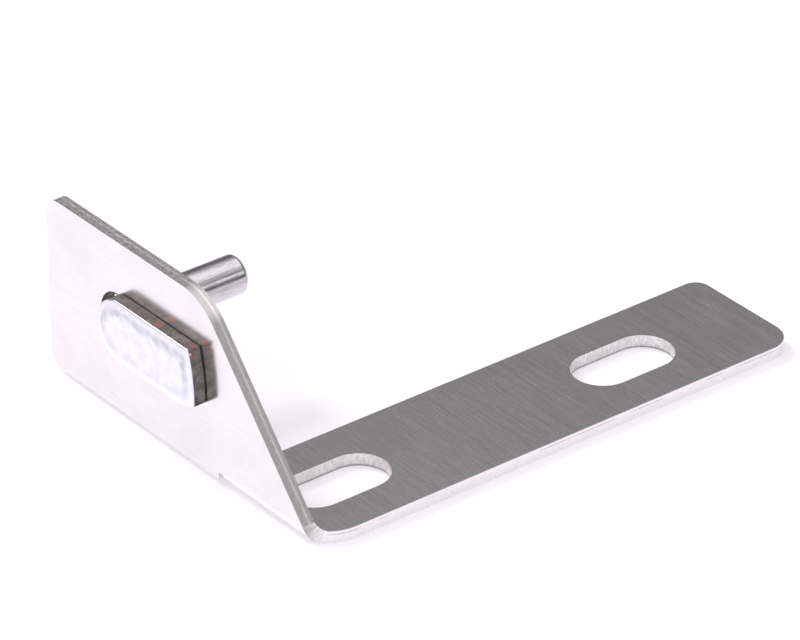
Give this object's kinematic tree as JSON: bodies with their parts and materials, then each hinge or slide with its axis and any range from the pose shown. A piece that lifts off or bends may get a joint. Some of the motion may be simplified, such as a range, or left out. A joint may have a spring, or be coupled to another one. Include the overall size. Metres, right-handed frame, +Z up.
{
  "type": "hinge bracket",
  "caption": "L-shaped folded steel hinge bracket with mounting slots, a long upright flange and a hinge pin on an oblong backing plate.",
  "frame": {"origin": "midway between the centres of the mounting slots, on the underside of the base", "axes": "+X along the base, away from the flange and the way the hinge pin points; +Y across the base, towards the flange's long end; +Z up, out of the base's top face"},
  "size_m": [0.1175, 0.0826, 0.0376],
  "materials": {
    "bracket_plate": "stainless sheet, brushed across the base, with bright sheared edges",
    "hinge_pin": "bright drawn bar",
    "backing_plate": "satin plated steel, with brown sheared walls and spots of rust"
  },
  "bodies": {
    "root": {"bracket_plate": "bracket_plate", "hinge_pin": "hinge_pin", "backing_plate": "backing_plate"}
  },
  "joints": []
}
